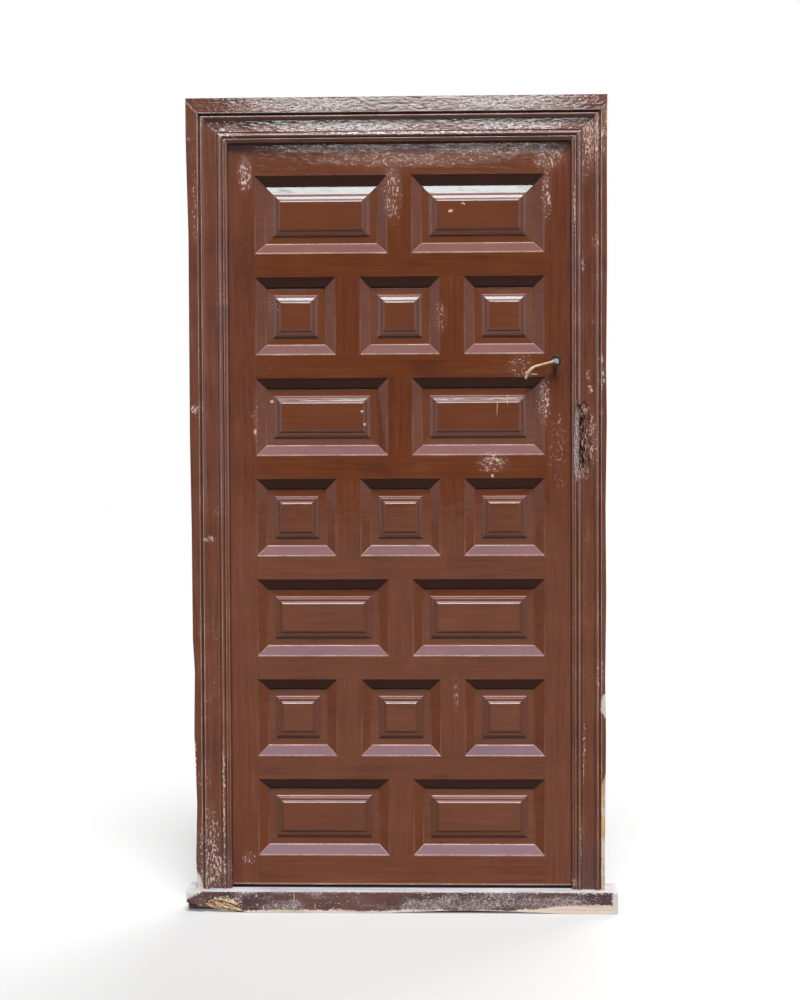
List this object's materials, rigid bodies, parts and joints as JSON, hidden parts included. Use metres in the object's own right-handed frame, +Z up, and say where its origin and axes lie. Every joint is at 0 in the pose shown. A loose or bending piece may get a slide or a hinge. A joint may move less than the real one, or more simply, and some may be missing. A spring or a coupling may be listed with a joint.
{
  "type": "panelled front door with frame",
  "caption": "Old brown-painted wooden front door with rows of raised panels in a moulded frame with sill, hung on butt hinges, with a lever latch.",
  "frame": {"origin": "middle of the sill's underside, on the plane between casings and jambs", "axes": "+Z up, +X to the right seen from the street, +Y into the house; the street face looks along -Y"},
  "size_m": [1.164, 0.1129, 2.191],
  "materials": {
    "brown_paint": "glossy brown oil paint over wood, chipped and worn along the edges",
    "sill_wood": "worn sill board, brown paint rubbed down to grey and pale wood",
    "brass": "cream-coloured worn brass",
    "steel": "dull grey steel"
  },
  "bodies": {
    "frame": {"sill": "sill_wood", "left_jamb": "brown_paint", "right_jamb": "brown_paint", "head_jamb": "brown_paint", "left_casing": "brown_paint", "right_casing": "brown_paint", "head_casing": "brown_paint", "hinge_jamb_plates": "steel", "hinge_pins": "steel", "strike_plate": "steel"},
    "leaf": {"hinge_stile": "brown_paint", "latch_stile": "brown_paint", "top_rail": "brown_paint", "rail_2": "brown_paint", "rail_3": "brown_paint", "rail_4": "brown_paint", "rail_5": "brown_paint", "rail_6": "brown_paint", "rail_7": "brown_paint", "bottom_rail": "brown_paint", "muntin_1": "brown_paint", "muntin_2_left": "brown_paint", "muntin_2_right": "brown_paint", "muntin_3": "brown_paint", "muntin_4_left": "brown_paint", "muntin_4_right": "brown_paint", "muntin_5": "brown_paint", "muntin_6_left": "brown_paint", "muntin_6_right": "brown_paint", "muntin_7": "brown_paint", "panel_1_left": "brown_paint", "panel_1_right": "brown_paint", "panel_2_left": "brown_paint", "panel_2_middle": "brown_paint", "panel_2_right": "brown_paint", "panel_3_left": "brown_paint", "panel_3_right": "brown_paint", "panel_4_left": "brown_paint", "panel_4_middle": "brown_paint", "panel_4_right": "brown_paint", "panel_5_left": "brown_paint", "panel_5_right": "brown_paint", "panel_6_left": "brown_paint", "panel_6_middle": "brown_paint", "panel_6_right": "brown_paint", "panel_7_left": "brown_paint", "panel_7_right": "brown_paint", "wide_bevels": "brown_paint", "square_bevels": "brown_paint", "hinge_leaf_plates": "steel", "lock_case": "steel", "lock_cover": "steel", "lock_forend": "steel"},
    "handle": {"spindle": "steel", "outer_lever": "brass", "inner_lever": "brass", "follower": "steel"},
    "latch": {"latch_bolt": "steel"}
  },
  "joints": [
    {"name": "leaf_swing", "type": "hinge", "parent": "frame", "child": "leaf", "pos_m": [-0.4685, 0.0505, 1.073], "axis": [0, 0, 1], "range_deg": [0, 105]},
    {"name": "lever_turn", "type": "hinge", "parent": "leaf", "child": "handle", "pos_m": [0.419, 0.023, 1.485], "axis": [0, 1, 0], "range_deg": [0, 22]},
    {"name": "latch_slide", "type": "slide", "parent": "leaf", "child": "latch", "axis": [1, 0, 0], "range_m": [0, 0.01071]}
  ],
  "couplings": [
    {"joint": "latch_slide", "follows": "lever_turn", "m_per_rad": 0.027828}
  ]
}
